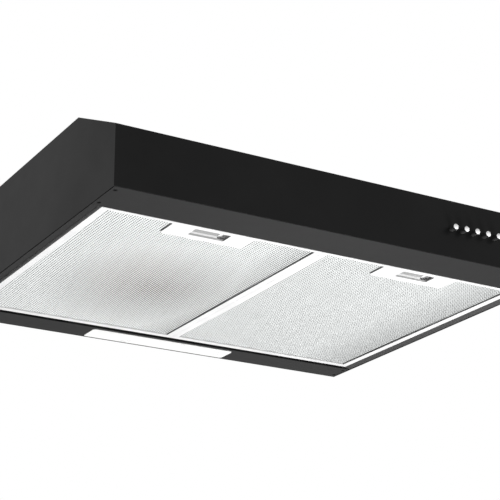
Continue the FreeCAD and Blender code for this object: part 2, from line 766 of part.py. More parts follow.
def make_scroll(mirror):
    """Curved wall and floor, with a lipped eye where air enters from below."""
    low, high, wall = val("scroll_floor"), val("scroll_top_z"), val("steel")
    eye = val("eye_radius")
    inside = volute_plug(low + wall, high, mirror, inset=wall, reach=1)
    shell = volute_plug(low, high, mirror).cut(inside)
    lip = upright(eye + wall, low, low + val("eye_lip"), mirror)
    return shell.fuse(lip).cut(upright(eye, low - 1, low + val("eye_lip") + 1, mirror))


def make_cover(mirror):
    low, high = val("scroll_top_z"), val("scroll_top_z+steel")
    plate = volute_plug(low, high, mirror)
    return plate.cut(upright(val("shaft_radius+cover_clear"), low - 1, high + 1, mirror))


def make_wheel(mirror):
    """Squirrel-cage wheel: back plate, hub, a ring of blades and a stiffening ring below."""
    top_z = val("scroll_top_z-wheel_drop")
    plate = val("wheel_plate")
    blade_low = val("scroll_floor+eye_lip+2")
    outer, depth, thick = val("wheel_radius"), val("blade_depth"), val("blade_thick")
    wheel = upright(outer, top_z - plate, top_z, mirror)
    wheel = wheel.fuse(upright(val("shaft_radius*2.5"), top_z - val("hub_long"), top_z, mirror))
    ring = upright(outer, blade_low, blade_low + 3 * plate, mirror)
    ring = ring.cut(upright(outer - 3 * plate, blade_low - 1, top_z, mirror))
    blades = []
    for i in range(int(val("blade_count"))):
        blade = Part.makeBox(depth - plate, thick, top_z - plate / 2 - blade_low,
                             FreeCAD.Vector(0, -thick / 2, blade_low))
        blade.rotate(FreeCAD.Vector(0, 0, 0), FreeCAD.Vector(0, 0, 1), mirror * val("blade_angle"))
        blade.translate(FreeCAD.Vector(outer - depth, 0, 0))
        blade.rotate(FreeCAD.Vector(0, 0, 0), FreeCAD.Vector(0, 0, 1), i * 360 / val("blade_count"))
        blade.translate(FreeCAD.Vector(-mirror * val("blower_x"), val("blower_y"), 0))
        blades.append(blade)
    wheel = wheel.fuse([ring] + blades)
    bore = upright(val("shaft_radius"), top_z - val("hub_long") - 1, top_z + 1, mirror)
    return wheel.cut(bore)


for side, sign in SIDES:
    mirror = 1 if sign == "-" else -1
    centre_x = "%sblower_x" % sign
    shaped("blower_scroll_" + side, lambda: make_scroll(mirror))
    shaped("scroll_cover_" + side, lambda: make_cover(mirror))
    shaped("impeller_" + side, lambda: make_wheel(mirror))

    motor = new_body("motor_" + side)
    pad(motor, "XY", "scroll_top_z+steel", "scroll_top_z+steel+motor_high",
        circle(centre_x, "blower_y", "motor_radius"))
    pad(motor, "XY", "scroll_top_z+steel", "scroll_top_z+3*steel",
        circle(centre_x, "blower_y", "motor_radius+motor_flange"))
    cut(motor, "XY", "scroll_top_z+steel", "scroll_top_z+steel+motor_high*motor_bore_share",
        circle(centre_x, "blower_y", "shaft_radius+shaft_clear"))
    keep("motor_shaft_" + side,
         rod("motor_shaft", "Z", "shaft_radius", "scroll_top_z-wheel_drop-hub_long-2*steel",
             "scroll_top_z+motor_high*motor_bore_share", centre_x, "blower_y"))

    grille = new_body("inlet_grille_" + side)
    rings = []
    for share in (1, 0.68, 0.36):
        ring = "(eye_radius+grille_thick)*%g" % share
        rings.append(circle(centre_x, "blower_y", ring))
        rings.append(circle(centre_x, "blower_y", ring + "-grille_rib"))
    pad(grille, "XY", "scroll_floor-grille_thick", "scroll_floor", *rings)
    for half_x, half_y in (("eye_radius", "grille_spoke"), ("grille_spoke", "eye_radius")):
        pad(grille, "XY", "scroll_floor-grille_thick", "scroll_floor-grille_thick/4",
            rect("%s-%s" % (centre_x, half_x), "%s+%s" % (centre_x, half_x),
                 "blower_y-" + half_y, "blower_y+" + half_y))

    hangers = [rod("hanger", "Z", "hanger_radius", "scroll_top_z+steel", "-steel",
                   "%s+hanger_circle*cos(%d)" % (centre_x, turn),
                   "blower_y+hanger_circle*sin(%d)" % turn) for turn in (30, 150, 270)]
    keep("hangers_" + side, group("hangers", *hangers))

# ---------------------------------------------------------------- exhaust

chest = new_body("exhaust_box")
pad(chest, "XY", "scroll_floor", "-steel", rect("-box_half", "box_half", "box_front", "box_front+box_deep"))
cut(chest, "XY", "scroll_floor+steel", "-steel",
    rect("-box_half+steel", "box_half-steel", "box_front+steel", "box_front+box_deep-steel"))
cut(chest, "YZ", "-box_half", "box_half",
    rect("mouth_low_y", "mouth_high_y", "scroll_floor+steel", "scroll_top_z"))

collar = new_body("exhaust_collar")
pad(collar, "XY", "0", "collar_wall", circle("0", "collar_y", "collar_radius+collar_flange"),
    circle("0", "collar_y", "collar_bore"))
pad(collar, "XY", "0", "collar_high", circle("0", "collar_y", "collar_radius"),
    circle("0", "collar_y", "collar_bore"))
seat_top = "damper_level-seat_gap"
seat = new_body("damper_seat")
pad(seat, "XY", seat_top + "-seat_thick", seat_top, circle("0", "collar_y", "collar_bore"),
    circle("0", "collar_y", "seat_bore"))
for holed in (collar, seat):
    cut(holed, "XZ", "collar_y-collar_radius-1", "collar_y+collar_radius+1",
        circle("0", "rod_z", "rod_radius"))
keep("damper_rod", rod("damper_rod", "Y", "rod_radius", "collar_y-collar_radius+screw_clear",
                       "collar_y+collar_radius-screw_clear", "0", "rod_z"))

screw_spots = [("%scollar_screw_circle*sin(45)" % sx, "collar_y%scollar_screw_circle*cos(45)" % sy)
               for sx in "-+" for sy in "-+"]
collar_screws = [fuse("collar_screw",
                      rod("collar_screw_head", "Z", "collar_screw_head", "collar_wall",
                          "collar_wall+collar_head_high", x, y),
                      rod("collar_screw_shank", "Z", "rail_screw", "-collar_screw_long",
                          "collar_wall+collar_head_high/2", x, y))
                 for x, y in screw_spots]
keep("collar_screws", group("collar_screws", *collar_screws))
for holed, low, high in ((top, "-steel", "0"), (collar, "0", "collar_wall")):
    cut(holed, "XY", low, high, *[circle(x, y, "rail_screw+screw_clear") for x, y in screw_spots])

# Each flap covers half the duct and turns up on two knuckles of its own; the other flap's
# knuckles lie between and beside them.
for place, (side, sign) in enumerate(SIDES):
    near = "knuckle_first+%d*(knuckle_long+knuckle_gap)" % place
    flap = new_body("damper_flap_" + side)
    root = "(knuckle_radius+housing_wall/2)"
    limit = "collar_bore-flap_gap"
    pad(flap, "XY", "damper_level", "damper_level+flap_thick", circle("0", "collar_y", limit))
    cut(flap, "XY", "damper_level", "damper_level+flap_thick",
        poly(*[("%s(%s)" % (sign, x), y) for x, y in
               ((root, "collar_y-collar_radius"), (root, "collar_y+collar_radius"),
                ("-collar_radius", "collar_y+collar_radius"),
                ("-collar_radius", "collar_y-collar_radius"))]))
    for end in "-+":
        ys = sorted(("collar_y%s(%s)" % (end, near),
                     "collar_y%s(%s+knuckle_long)" % (end, near)), key=val)
        pad(flap, "XY", "damper_level", "damper_level+flap_thick",
            poly(*[("%s(%s)" % (sign, x), y) for x, y in
                   (("rod_radius", ys[0]), (root + "+1", ys[0]), (root + "+1", ys[1]),
                    ("rod_radius", ys[1]))]))
        pad(flap, "XZ", ys[0], ys[1], circle("0", "rod_z", "knuckle_radius"))
    cut(flap, "XZ", "collar_y-collar_bore", "collar_y+collar_bore",
        circle("0", "rod_z", "rod_radius+rod_clear"))

# ---------------------------------------------------------------- electrics



def junction_outline(inset, corner):
    """The box's square outline, moved in from its outer face."""
    half = "(junction_side/2-(%s))" % inset
    return rounded("junction_x-" + half, "junction_x+" + half, "junction_y-" + half,
                   "junction_y+" + half, corner)


case = new_body("junction_box")
pad(case, "XY", "box_low_z", "-steel", junction_outline("0", "junction_corner"))
cut(case, "XY", "box_low_z", "-steel-housing_wall",
    junction_outline("housing_wall", "junction_corner-1"))
cut(case, "XY", "-steel-housing_wall", "-steel",
    circle("junction_x", "junction_y", "gland_neck+screw_clear"))
lid = new_body("junction_lid")
pad(lid, "XY", "box_low_z-lid_thick", "box_low_z", junction_outline("0", "junction_corner"))
pad(lid, "XY", "box_low_z", "box_low_z+lid_lip",
    junction_outline("housing_wall+seam", "junction_corner-1"))
nut_top = "-steel-housing_wall"
gland_solid = fuse("gland_solid",
                   rod("gland_head", "Z", "gland_radius", "0", "gland_high",
                       "junction_x", "junction_y"),
                   rod("gland_neck_rod", "Z", "gland_neck", "-gland_high", "gland_high/2",
                       "junction_x", "junction_y"),
                   rod("gland_nut", "Z", "gland_radius+1", nut_top + "-gland_nut_high", nut_top,
                       "junction_x", "junction_y"))
keep("cable_gland", minus("cable_gland", gland_solid,
                          rod("gland_hole", "Z", "gland_bore", "-gland_high-1", "gland_high+1",
                              "junction_x", "junction_y")))
can_z = "-steel-capacitor_radius-clip_wall"
can_x = "-box_half-capacitor_offset"
can = rod("capacitor_can", "X", "capacitor_radius", can_x + "-capacitor_long", can_x,
          "junction_y", can_z)
clip = block("capacitor_clip", can_x + "-capacitor_long/2-clip_width/2",
             can_x + "-capacitor_long/2+clip_width/2",
             "junction_y-capacitor_radius-clip_wall", "junction_y+capacitor_radius+clip_wall",
             can_z + "-2*clip_wall", "-steel")
keep("capacitor", fuse("capacitor", can, clip))

# ---------------------------------------------------------------- output

doc.recompute()
for obj in doc.Objects:
    if "Invalid" in obj.State or "Error" in obj.State:
        raise RuntimeError("%s is in state %s" % (obj.Name, obj.State))
    if obj.TypeId == "PartDesign::Pocket":
        removed = obj.BaseFeature.Shape.Volume - obj.Shape.Volume
        if removed < 0.01:
            raise RuntimeError("%s removes nothing" % obj.Name)
os.makedirs("parts", exist_ok=True)
for name, obj in nodes.items():
    if obj.Shape.isNull() or not obj.Shape.isValid():
        raise RuntimeError("%s has no valid shape" % name)
    obj.Shape.exportStep("parts/%s.step" % name)
print("%d parts written" % len(nodes))
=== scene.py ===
import math

import bmesh
import bpy
from mathutils import Matrix, Vector


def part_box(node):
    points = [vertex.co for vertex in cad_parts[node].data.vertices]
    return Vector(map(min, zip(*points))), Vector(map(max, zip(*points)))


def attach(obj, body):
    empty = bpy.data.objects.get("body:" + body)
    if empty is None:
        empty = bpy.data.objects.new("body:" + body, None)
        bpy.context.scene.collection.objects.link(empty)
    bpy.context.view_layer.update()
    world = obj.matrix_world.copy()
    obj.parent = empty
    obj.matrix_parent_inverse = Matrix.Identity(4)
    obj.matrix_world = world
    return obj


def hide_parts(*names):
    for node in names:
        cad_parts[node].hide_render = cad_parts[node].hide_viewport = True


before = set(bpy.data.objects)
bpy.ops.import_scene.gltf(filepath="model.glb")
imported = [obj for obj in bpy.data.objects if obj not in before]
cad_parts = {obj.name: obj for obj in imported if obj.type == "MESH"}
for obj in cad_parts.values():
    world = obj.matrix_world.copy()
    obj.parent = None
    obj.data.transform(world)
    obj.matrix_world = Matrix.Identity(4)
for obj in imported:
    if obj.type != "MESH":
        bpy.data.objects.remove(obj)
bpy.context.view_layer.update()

MM = 0.001


# ---------------------------------------------------------------- camera

def place_camera():
    """A long lens below the hood's front left corner, looking up and to the right."""
    data = bpy.data.cameras.new("camera")
    data.sensor_width = 36.0
    data.lens = 115.96
    data.clip_start = 0.05
    data.clip_end = 50.0
    camera = bpy.data.objects.new("camera", data)
    bpy.context.collection.objects.link(camera)
    yaw, pitch, roll = math.radians(30.35), math.radians(20.34), math.radians(-0.156)
    camera.location = Vector((-963.2, -1714.1, -767.0)) * MM
    turn = (Matrix.Rotation(-yaw, 4, "Z") @ Matrix.Rotation(math.pi / 2 + pitch, 4, "X")
            @ Matrix.Rotation(roll, 4, "Z"))
    camera.rotation_euler = turn.to_euler()
    bpy.context.scene.camera = camera


place_camera()


# ---------------------------------------------------------------- materials

# the colour sockets of a Mix node: two in, one out
MIX_FIRST, MIX_SECOND, MIX_OUT = 6, 7, 2


class Look:
    """Builds one node material around a Principled shader."""

    def __init__(self, name, colour, rough, metal=0.0, level=0.5, coat=0.0, coat_rough=0.1):
        self.material = bpy.data.materials.new(name)
        self.material.use_nodes = True
        self.tree = self.material.node_tree
        self.tree.nodes.clear()
        self.shader = self.add("ShaderNodeBsdfPrincipled")
        out = self.add("ShaderNodeOutputMaterial")
        self.link(self.shader.outputs[0], out.inputs[0])
        self.shader.inputs["Base Color"].default_value = (*colour, 1)
        self.shader.inputs["Roughness"].default_value = rough
        self.shader.inputs["Metallic"].default_value = metal
        self.shader.inputs["Specular IOR Level"].default_value = level
        self.shader.inputs["Coat Weight"].default_value = coat
        self.shader.inputs["Coat Roughness"].default_value = coat_rough
        self.colour = colour
        self.rough = rough
        self.height = None
        self.tint = None
        self.place = self.add("ShaderNodeTexCoord").outputs["Object"]

    def add(self, kind):
        return self.tree.nodes.new(kind)

    def link(self, source, target):
        self.tree.links.new(source, target)

    def noise(self, scale, detail=4.0, rough=0.55, stretch=(1, 1, 1)):
        """Noise at a scale in cells per metre, squeezed or stretched along the axes."""
        mapping = self.add("ShaderNodeMapping")
        mapping.inputs["Scale"].default_value = stretch
        self.link(self.place, mapping.inputs["Vector"])
        node = self.add("ShaderNodeTexNoise")
        node.inputs["Scale"].default_value = scale
        node.inputs["Detail"].default_value = detail
        node.inputs["Roughness"].default_value = rough
        self.link(mapping.outputs[0], node.inputs["Vector"])
        return node.outputs["Fac"]

    def ramp(self, source, low, high, start=0.3, end=0.7):
        """Maps a grey input between two values."""
        node = self.add("ShaderNodeMapRange")
        node.inputs["From Min"].default_value = start
        node.inputs["From Max"].default_value = end
        node.inputs["To Min"].default_value = low
        node.inputs["To Max"].default_value = high
        self.link(source, node.inputs["Value"])
        return node.outputs["Result"]

    def math(self, operation, *values):
        """A sum on grey inputs, each one a socket or a number."""
        node = self.add("ShaderNodeMath")
        node.operation = operation
        for socket, value in zip(node.inputs, values):
            if isinstance(value, (int, float)):
                socket.default_value = value
            else:
                self.link(value, socket)
        return node.outputs[0]

    def part_of(self, source, axis):
        """One axis of the object's place ("Object") or its surface normal ("Normal")."""
        node = self.add("ShaderNodeSeparateXYZ")
        self.link(self.add("ShaderNodeTexCoord").outputs[source], node.inputs[0])
        return node.outputs[axis]

    def vary_colour(self, source, other, start=0.3, end=0.7):
        """Turns towards another colour as the source goes from start to end."""
        node = self.add("ShaderNodeMix")
        node.data_type = "RGBA"
        node.inputs[MIX_FIRST].default_value = (*self.colour, 1)
        if self.tint is not None:
            self.link(self.tint, node.inputs[MIX_FIRST])
        node.inputs[MIX_SECOND].default_value = (*other, 1)
        self.link(self.ramp(source, 0.0, 1.0, start, end), node.inputs[0])
        self.tint = node.outputs[MIX_OUT]
        self.link(self.tint, self.shader.inputs["Base Color"])
        return self

    def vary_rough(self, source, spread):
        """Lets the roughness wander by the spread to both sides."""
        self.link(self.ramp(source, self.rough - spread, self.rough + spread),
                  self.shader.inputs["Roughness"])
        return self

    def bump(self, source, depth):
        """Adds surface relief, with its depth in metres."""
        node = self.add("ShaderNodeBump")
        node.inputs["Strength"].default_value = 1.0
        node.inputs["Distance"].default_value = depth
        self.link(source, node.inputs["Height"])
        if self.height is not None:
            self.link(self.height, node.inputs["Normal"])
        self.height = node.outputs[0]
        self.link(self.height, self.shader.inputs["Normal"])
        return self


def painted(name, colour, rough, worn):
    """Stoved enamel on sheet steel: fine orange peel, faint clouding and dust."""
    look = Look(name, colour, rough, level=0.5)
    look.bump(look.noise(900, 3), 0.000012)
    look.vary_rough(look.noise(9, 5), 0.05)
    look.vary_colour(look.noise(14, 6, 0.6), worn, 0.45, 0.75)
    return look.material


def sheet_metal(name, colour, rough, stretch=(1, 60, 60), other=None):
    """Rolled metal with a directional grain."""
    look = Look(name, colour, rough, metal=1.0)
    look.bump(look.noise(40, 6, 0.7, stretch), 0.00001)
    look.vary_rough(look.noise(25, 4, 0.6, stretch), 0.08)
    look.vary_colour(look.noise(30, 6, 0.6), other or tuple(0.85 * c for c in colour), 0.35, 0.7)
    return look.material


def moulded(name, colour, rough, grain=1400, level=0.5):
    """Moulded plastic or rubber with a fine spark-eroded grain."""
    look = Look(name, colour, rough, level=level)
    look.bump(look.noise(grain, 2), 0.00002)
    look.vary_rough(look.noise(30, 4), 0.06)
    look.vary_colour(look.noise(18, 5), tuple(min(1, c * 1.25 + 0.004) for c in colour), 0.45, 0.75)
    return look.material


# how far in from its outline the filter frame's outer walls reach
OUTER_WALL = 3 * MM


def frame_look(side):
    """Bright sheet aluminium. The rim's inner walls are painted darker, as painted shade."""
    look = Look("filter_aluminium_" + side, (0.94, 0.94, 0.94), 0.42, metal=0.25)
    look.bump(look.noise(60, 5, 0.6, (1, 30, 30)), 0.00001)
    look.vary_rough(look.noise(20, 4), 0.08)
    look.vary_colour(look.noise(25, 5), (0.86, 0.86, 0.87), 0.5, 0.8)
    low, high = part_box("filter_frame_" + side)
    # painted shade: the walls that face X are painted darker than those that face Y
    for axis, wall_shade in ((0, 0.15), (1, 0.5)):
        half, middle = (high[axis] - low[axis]) / 2, (high[axis] + low[axis]) / 2
        off = look.math("ABSOLUTE", look.math("SUBTRACT", look.part_of("Object", axis), middle))
        inner = look.ramp(off, 1.0, 0.0, half - OUTER_WALL - 1 * MM, half - OUTER_WALL)
        facing = look.ramp(look.math("ABSOLUTE", look.part_of("Normal", axis)), 0.0, 1.0, 0.4, 0.75)
        look.vary_colour(look.math("MULTIPLY", inner, facing), (wall_shade, wall_shade, wall_shade), 0.0, 1.0)
    return look.material


# one set of strands per line: height above the filter's floor, pitch, width, thickness in
# millimetres, and the angle to X in degrees
FRONT_NET = [(0.05, 3.33, 1.75, 0.3, 89.4), (0.15, 3.97, 1.2, 0.3, 6.8)]
SECOND_NET = [(2.0, 2.9, 0.8, 0.3, 47.0), (2.2, 2.9, 0.8, 0.3, -43.0)]
BACK_NET = [(3.9, 3.33, 1.2, 0.3, 89.4), (4.25, 3.97, 1.2, 0.3, 6.8)]


# painted shade on the net: how strong it is at the right edge, how far the spot is full and
# reaches, and where the flank of a strand starts and is full, as shares of the pitch
EDGE_SHADE = 0.8
SPOT_FULL, SPOT_REACH = 0.01, 0.155
FLANK_START, FLANK_FULL = 0.57, 0.62


def net_look(side, lit_tone, edge_start, spot=None):
    """Bright mesh. Painted shade darkens one flank of each strand towards the right edge, from
    edge_start on, and around the spot below a blower's eye."""
    look = Look("filter_net_" + side, (0.978 * lit_tone, lit_tone, 0.993 * lit_tone), 0.4, metal=0.15)
    look.bump(look.noise(500, 3), 0.00003)
    look.vary_rough(look.noise(90, 4), 0.08)
    low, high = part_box("filter_mesh_" + side)
    net_shade = look.ramp(look.part_of("Object", "X"), 0.0, EDGE_SHADE, edge_start, high.x)
    if spot:
        away = look.add("ShaderNodeVectorMath")
        away.operation = "DISTANCE"
        look.link(look.place, away.inputs[0])
        away.inputs[1].default_value = spot
        near = look.ramp(away.outputs["Value"], 1.0, 0.0, SPOT_FULL, SPOT_REACH)
        net_shade = look.math("MAXIMUM", net_shade, near)
    # the flank: the part of each pitch on one side of a strand's middle
    pitch, angle = FRONT_NET[0][1] * MM, math.radians(FRONT_NET[0][4])
    across = Vector((-math.sin(angle), math.cos(angle), 0)) / pitch
    along = look.add("ShaderNodeVectorMath")
    along.operation = "DOT_PRODUCT"
    look.link(look.place, along.inputs[0])
    along.inputs[1].default_value = across
    middle = (low + high) / 2
    centred = 0.5 - middle.x * across.x - middle.y * across.y
    shift = look.math("ADD", along.outputs["Value"], centred)
    flank = look.ramp(look.math("FRACT", shift), 0.0, 1.0, FLANK_START, FLANK_FULL)
    # painted shade on one flank of each strand
    look.vary_colour(look.math("MULTIPLY", net_shade, flank), (0.02, 0.02, 0.02), 0.0, 1.0)
    return look.material


def second_net_look():
    """The net behind the first one, in its shade."""
    look = Look("filter_net_second", (0.3, 0.3, 0.305), 0.45, metal=0.3)
    look.bump(look.noise(500, 3), 0.00003)
    look.vary_rough(look.noise(90, 4), 0.08)
    look.vary_colour(look.noise(120, 4), (0.2, 0.2, 0.205), 0.45, 0.8)
    return look.material


def deep_net_look():
    """The crumpled layers deep inside the filter, painted dark as the shade they lie in."""
    look = Look("filter_net_deep", (0.1, 0.1, 0.102), 0.5, metal=0.3)
    look.bump(look.noise(420, 4, 0.7), 0.0006)
    look.vary_rough(look.noise(90, 4), 0.08)
    look.vary_colour(look.noise(420, 5, 0.7), (0.05, 0.05, 0.052), 0.42, 0.62)
    return look.material


# how much of a cap's height, from its front, is the polished crown
CROWN_HEIGHT = 0.9 * MM


def cap_look():
    """A button cap: the crown is polished white and the rim is painted black, partly as painted
    shade round the dome's edge and partly to make the white face smaller.
    """
    look = Look("button_white", (0.95, 0.95, 0.95), 0.2, level=0.35, coat=0.1, coat_rough=0.1)
    look.bump(look.noise(900, 2), 0.000006)
    look.vary_rough(look.noise(60, 3), 0.04)
    look.vary_colour(look.noise(120, 3), (0.9, 0.9, 0.9), 0.5, 0.8)
    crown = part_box("button_cap_1")[0].y + CROWN_HEIGHT
    # partly painted shade: the rim behind the crown turns black
    look.vary_colour(look.part_of("Object", "Y"), (0.02, 0.02, 0.02), crown, crown + 0.1 * MM)
    return look.material


def lens_look():
    """A milky diffuser."""
    look = Look("lens_diffuser", (0.93, 0.93, 0.92), 0.32)
    look.bump(look.noise(700, 2), 0.00003)
    look.vary_rough(look.noise(40, 3), 0.06)
    look.vary_colour(look.noise(30, 3), (0.915, 0.918, 0.91), 0.5, 0.8)
    look.shader.inputs["Subsurface Weight"].default_value = 0.2
    look.shader.inputs["Subsurface Radius"].default_value = (0.002, 0.002, 0.002)
    return look.material


def slider_look():
    """A latch slider, whose plate is painted greyer underneath than its finger wall, as painted
    shade in the slot.
    """
    look = Look("latch_slider", (0.9, 0.9, 0.9), 0.35)
    look.bump(look.noise(1400, 2), 0.00002)
    look.vary_rough(look.noise(30, 4), 0.06)
    # painted shade: faces that look down turn grey
    look.vary_colour(look.part_of("Normal", "Z"), (0.3, 0.3, 0.3), -0.5, -0.9)
    return look.material


# the centre of the painted shade on the left net, below the left blower's eye
SHADE_SPOT = (-0.105, -0.017, -0.116)

PAINT = painted("canopy_paint", (0.0035, 0.0035, 0.0036), 0.36, (0.0052, 0.0052, 0.0052))
# painted light: the right side panel is a lighter copy of the canopy paint, so that its flange
# looks lit
PAINT_LIT_RIGHT = painted("canopy_paint_lit_right", (0.03, 0.03, 0.03), 0.38, (0.034, 0.034, 0.034))
FRAME = {side: frame_look(side) for side in ("left", "right")}

# painted light and shade: the same mesh is painted lighter on the left filter and darker on the
# right
NET = {"left": net_look("left", 0.95, -0.06, SHADE_SPOT),
       "right": net_look("right", 0.885, 0.2)}
NET_DIM = second_net_look()
NET_DEEP = deep_net_look()
BLACK = moulded("black_plastic", (0.012, 0.012, 0.012), 0.4)
WHITE = moulded("white_plastic", (0.86, 0.86, 0.85), 0.3)
GREY = moulded("grey_plastic", (0.2, 0.2, 0.205), 0.45)
RUBBER = moulded("rubber", (0.015, 0.015, 0.015), 0.75, 600)
GALVANISED = sheet_metal("galvanised", (0.62, 0.63, 0.64), 0.38, (1, 1, 1), (0.45, 0.46, 0.47))
STEEL = sheet_metal("turned_steel", (0.55, 0.55, 0.56), 0.3, (1, 1, 30))
DARK_STEEL = sheet_metal("dark_screw", (0.006, 0.006, 0.006), 0.5, (1, 1, 30))
# a matt black bead as painted shade in the grooves at the panel joints
GROOVE_SHADE = moulded("groove_shade_bead", (0.003, 0.003, 0.003), 0.9, 600, level=0.1)
BOARD = moulded("board", (0.82, 0.84, 0.82), 0.35, 300)
CAP = cap_look()
LENS = lens_look()
SLIDER = slider_look()
TRAY = moulded("latch_tray", (0.9, 0.9, 0.9), 0.5)
WIRE_COLOURS = {"brown": (0.12, 0.04, 0.015), "blue": (0.02, 0.05, 0.25),
                "black": (0.012, 0.012, 0.012), "grey": (0.3, 0.3, 0.31),
                "red": (0.3, 0.015, 0.01)}
WIRE = {name: moulded("wire_" + name, colour, 0.4, 300) for name, colour in WIRE_COLOURS.items()}

FINISH = {
    PAINT: ["top_panel", "front_panel", "back_panel", "rear_rail", "side_panel_left"],
    PAINT_LIT_RIGHT: ["side_panel_right"],
    DARK_STEEL: ["rail_screws"],
    STEEL: ["collar_screws", "damper_rod", "motor_shaft_left", "motor_shaft_right",
            "motor_left", "motor_right"],
    LENS: ["lamp_lens"],
    WHITE: ["lamp_housing"],
    SLIDER: ["latch_slider_left", "latch_slider_right"],
    TRAY: ["latch_housing_left", "latch_housing_right"],
    BOARD: ["led_board"],
    BLACK: ["switch_block", "exhaust_collar", "damper_seat", "cable_gland",
            "damper_flap_left", "damper_flap_right", "impeller_left", "impeller_right",
            "inlet_grille_left", "inlet_grille_right"],
    CAP: ["button_cap_%d" % i for i in range(1, 6)],
    GREY: ["led_driver", "junction_box", "junction_lid", "capacitor"],
    GALVANISED: ["blower_scroll_left", "blower_scroll_right", "scroll_cover_left",
                 "scroll_cover_right", "exhaust_box"],
    RUBBER: ["hangers_left", "hangers_right"] + ["button_stem_%d" % i for i in range(1, 6)],
    FRAME["left"]: ["filter_frame_left"],
    FRAME["right"]: ["filter_frame_right"],
    NET["left"]: ["filter_mesh_left"],
    NET["right"]: ["filter_mesh_right"],
}
for material, names in FINISH.items():
    for name in names:
        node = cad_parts[name]
        node.data.materials.clear()
        node.data.materials.append(material)


def soften(name, width):
    """Breaks a CAD node's sharp edges, as a fold or a moulding does."""
    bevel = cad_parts[name].modifiers.new("soft_edges", "BEVEL")
    bevel.width = width
    bevel.segments = 3
    bevel.limit_method = "ANGLE"
    bevel.angle_limit = math.radians(50)
    bevel.harden_normals = False
    bevel.use_clamp_overlap = True


PANEL_FOLD = 0.3 * MM
FRAME_FOLD = 0.25 * MM
for name in ("top_panel", "front_panel", "back_panel", "rear_rail", "side_panel_left",
             "side_panel_right"):
    soften(name, PANEL_FOLD)
for name in ("filter_frame_left", "filter_frame_right"):
    soften(name, FRAME_FOLD)


# ---------------------------------------------------------------- mesh helpers

def add_mesh(name, body, material, verts, faces, smooth=False):
    """A piece that rides on a body, from its corners in metres and its faces."""
    mesh = bpy.data.meshes.new(name)
    mesh.from_pydata([tuple(v) for v in verts], [], faces)
    mesh.validate()
    if smooth:
        mesh.polygons.foreach_set("use_smooth", [True] * len(mesh.polygons))
    obj = bpy.data.objects.new(name, mesh)
    bpy.context.collection.objects.link(obj)
    mesh.materials.append(material)
    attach(obj, body)
    return obj


# ---------------------------------------------------------------- filter mesh

def strand(verts, faces, start, end, z, width, thick):
    """A flat strand from start to end, its lower face at height z."""
    along = (end - start).normalized()
    side = Vector((-along.y, along.x)) * width / 2
    first = len(verts)
    for point in (start, end):
        for offset, level in ((-side, z), (side, z), (side, z + thick), (-side, z + thick)):
            verts.append((point.x + offset.x, point.y + offset.y, level))
    a, b = first, first + 4
    for i in range(4):
        j = (i + 1) % 4
        faces.append((a + i, a + j, b + j, b + i))
    faces.append((a + 3, a + 2, a + 1, a))
    faces.append((b, b + 1, b + 2, b + 3))


# a strand shorter than this is left out
SHORTEST = 1 * MM


def spans(point, along, low, high, hole):
    """The stretches of a line that lie in the rectangle low-high and outside the hole."""
    def crossing(lo, hi):
        near, far = -1e9, 1e9
        for axis in (0, 1):
            a = (lo[axis] - point[axis]) / along[axis]
            b = (hi[axis] - point[axis]) / along[axis]
            near, far = max(near, min(a, b)), min(far, max(a, b))
        return (near, far) if near < far else None

    whole = crossing(low, high)
    if not whole:
        return []
    gap = crossing(*hole)
    if not gap:
        return [whole]
    pieces = [(whole[0], min(whole[1], gap[0])), (max(whole[0], gap[1]), whole[1])]
    return [(a, b) for a, b in pieces if b - a > SHORTEST]


def net_set(verts, faces, low, high, hole, z, pitch, width, thick, angle):
    """Parallel strands a pitch apart, at an angle to X, within the filter's outline."""
    centre = (Vector(low) + Vector(high)) / 2
    reach = (Vector(high) - Vector(low)).length / 2
    along = Vector((math.cos(angle), math.sin(angle)))
    across = Vector((-along.y, along.x))
    count = int(reach / pitch)
    for i in range(-count, count + 1):
        point = centre + across * (i * pitch)
        for a, b in spans(point, along, low, high, hole):
            strand(verts, faces, point + along * a, point + along * b, z, width, thick)


# room left round the latch tray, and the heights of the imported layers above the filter's floor
# and below its top
TRAY_GAP = 0.3 * MM
PACK_ABOVE_FLOOR = 2.8 * MM
PACK_BELOW_TOP = 0.75 * MM


def filter_net(side):
    """The mesh of one filter: two open layers of strands, a packed layer, and one more open
    layer on the side of the blowers."""
    low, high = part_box("filter_mesh_" + side)
    tray_low, tray_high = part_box("latch_housing_" + side)
    hole = ((tray_low.x - TRAY_GAP, low.y - 1 * MM),
            (tray_high.x + TRAY_GAP, tray_high.y + TRAY_GAP))
    body = "filter_" + side
    for name, sets in (("net_front_", FRONT_NET), ("net_second_", SECOND_NET),
                       ("net_back_", BACK_NET)):
        verts, faces = [], []
        for rise, pitch, width, thick, angle in sets:
            net_set(verts, faces, (low.x, low.y), (high.x, high.y), hole, low.z + rise * MM,
                    pitch * MM, width * MM, thick * MM, math.radians(angle))
        layer = add_mesh(name + side, body, NET_DIM if sets is SECOND_NET else NET[side], verts,
                         faces)
        if sets is FRONT_NET:
            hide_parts("filter_mesh_" + side)
    # the imported layers in the middle, as one crumpled sheet with the tray's notch in it, painted
    # dark as painted shade
    z0, z1 = low.z + PACK_ABOVE_FLOOR, high.z - PACK_BELOW_TOP
    ys = [low.y, hole[1][1], high.y]
    xs = [low.x, hole[0][0], hole[1][0], high.x]
    outline = [(xs[0], ys[0]), (xs[1], ys[0]), (xs[1], ys[1]), (xs[2], ys[1]), (xs[2], ys[0]),
               (xs[3], ys[0]), (xs[3], ys[2]), (xs[0], ys[2])]
    verts = [(x, y, z0) for x, y in outline] + [(x, y, z1) for x, y in outline]
    count = len(outline)
    faces = [tuple(reversed(range(count))), tuple(range(count, 2 * count))]
    faces += [(i, (i + 1) % count, count + (i + 1) % count, count + i) for i in range(count)]
    add_mesh("net_pack_" + side, body, NET_DEEP, verts, faces)


for side in ("left", "right"):
    filter_net(side)


# ---------------------------------------------------------------- fixings

def ring_of(count, radius, x, y, z):
    """Points round a level circle."""
    return [(x + radius * math.cos(math.tau * i / count),
             y + radius * math.sin(math.tau * i / count), z) for i in range(count)]


